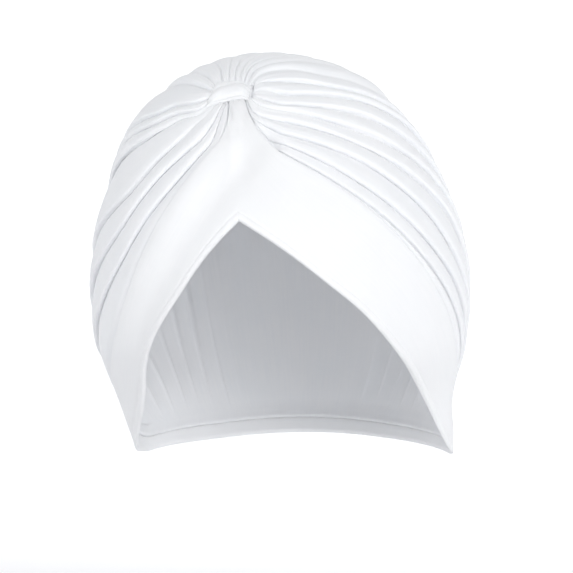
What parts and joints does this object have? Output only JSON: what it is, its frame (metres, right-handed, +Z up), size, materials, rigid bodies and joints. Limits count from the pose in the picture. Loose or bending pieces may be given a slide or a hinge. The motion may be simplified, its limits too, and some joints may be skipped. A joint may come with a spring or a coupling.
{
  "type": "pre-tied turban cap",
  "caption": "Pre-tied turban cap of stretch jersey, with a pleated crown gathered at a forehead knot, a smooth peaked front band and a narrow nape band.",
  "frame": {"origin": "where the top of a head touches the inside of the crown", "axes": "+Z up along the wearer's head, -Y out of the face opening, +X to the right of somebody facing the cap"},
  "size_m": [0.1809, 0.2106, 0.1951],
  "materials": {
    "crown_jersey": "matte knitted jersey",
    "band_jersey": "matte knitted jersey, doubled and smooth",
    "wrap_jersey": "matte knitted jersey"
  },
  "bodies": {
    "root": {"crown": "crown_jersey", "front_band": "band_jersey", "knot_wrap": "wrap_jersey"}
  },
  "joints": []
}
